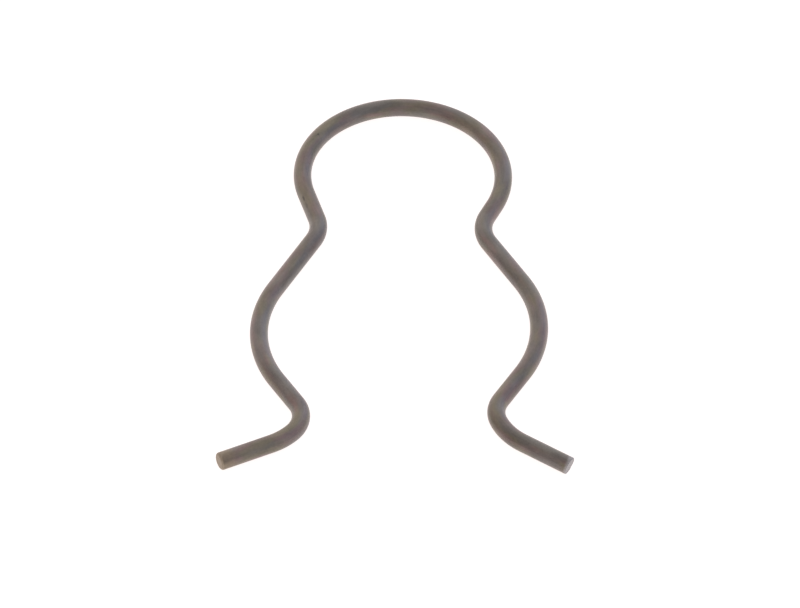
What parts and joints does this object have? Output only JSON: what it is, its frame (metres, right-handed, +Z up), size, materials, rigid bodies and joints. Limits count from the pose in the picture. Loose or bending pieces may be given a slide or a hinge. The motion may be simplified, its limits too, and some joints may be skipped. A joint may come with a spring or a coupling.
{
  "type": "wire retaining spring clip",
  "caption": "Flat sprung clip bent from round steel wire: a round head loop, a narrow waist, bowed arms that grip a tube, and outturned feet.",
  "frame": {"origin": "middle of the clip's footprint, on the surface that it lies on", "axes": "+Y along the clip's length towards the head loop, +X towards the leg with the steeper foot, +Z up, across the wire"},
  "size_m": [0.039, 0.0592, 0.002],
  "materials": {
    "spring_wire": "matte"
  },
  "bodies": {
    "root": {"wire_clip": "spring_wire"}
  },
  "joints": []
}
